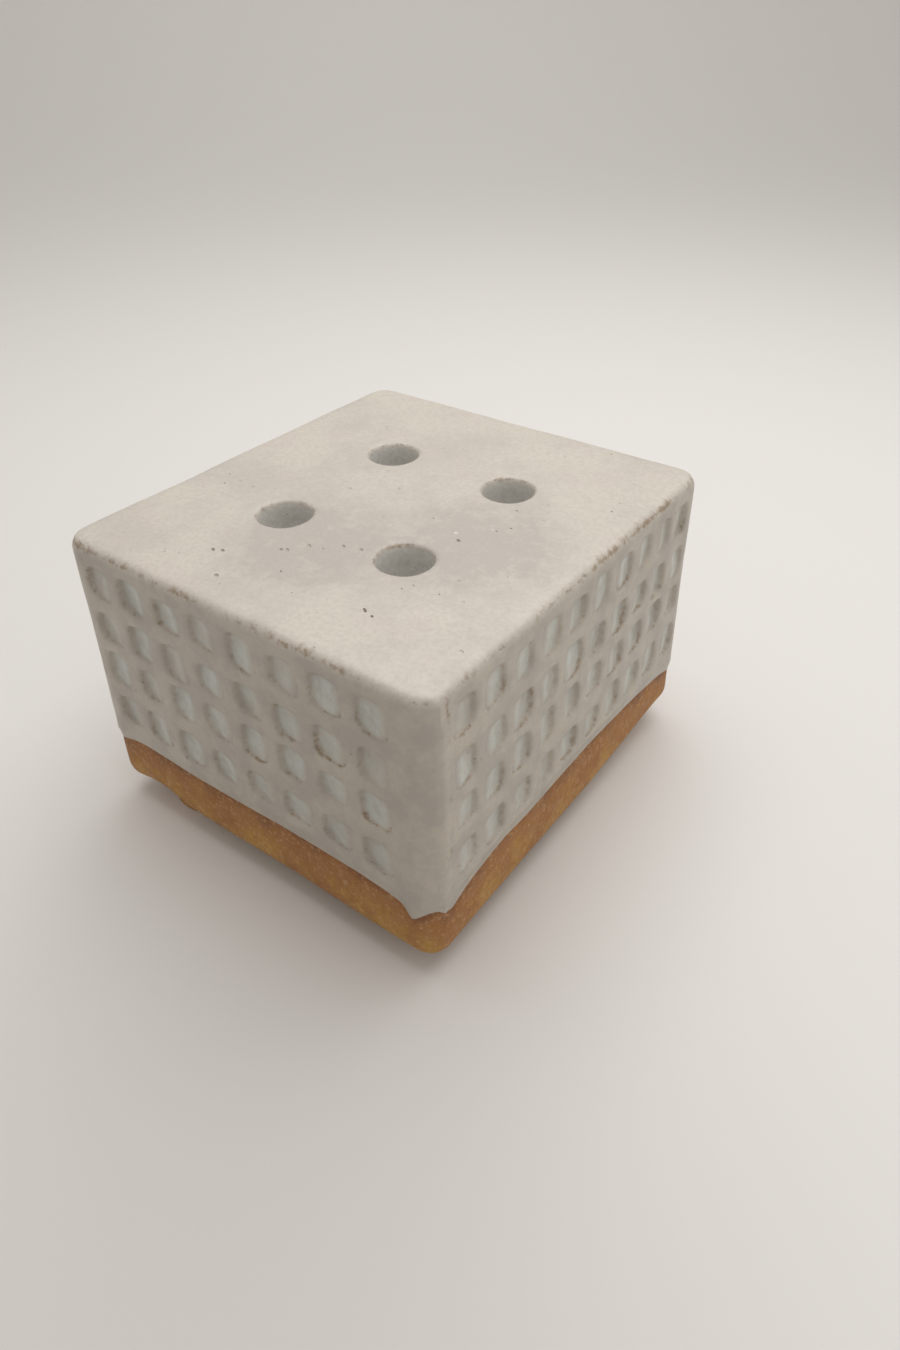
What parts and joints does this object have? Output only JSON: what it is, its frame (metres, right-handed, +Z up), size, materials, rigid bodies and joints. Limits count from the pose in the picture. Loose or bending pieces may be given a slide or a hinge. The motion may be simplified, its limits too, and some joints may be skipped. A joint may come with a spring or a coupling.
{
  "type": "flower frog",
  "caption": "Slab-built stoneware flower block with stem holes in a smooth glazed top, dimpled glazed sides, a bare clay base band and small feet.",
  "frame": {"origin": "on the surface that the block stands on, under the middle of the block", "axes": "+Z up out of the stem holes, +Y along the block's longer side towards its back, +X towards its right"},
  "size_m": [0.0884, 0.0964, 0.065],
  "materials": {
    "bare_clay": "matte toasted stoneware",
    "inner_clay": "matte stoneware",
    "white_glaze": "satin white glaze that breaks brown on edges",
    "lining_glaze": "satin pale glaze"
  },
  "bodies": {
    "root": {"top_slab": "bare_clay", "front_wall": "bare_clay", "right_wall": "bare_clay", "back_wall": "bare_clay", "left_wall": "bare_clay", "base_slab": "bare_clay", "corner_coil_front_left": "inner_clay", "corner_coil_front_right": "inner_clay", "corner_coil_back_left": "inner_clay", "corner_coil_back_right": "inner_clay", "base_coil": "inner_clay", "foot_front_left": "bare_clay", "foot_front_right": "bare_clay", "foot_back_left": "bare_clay", "foot_back_right": "bare_clay", "glaze_coat": "white_glaze", "stem_hole_glaze": "lining_glaze", "lining_glaze": "lining_glaze"}
  },
  "joints": []
}
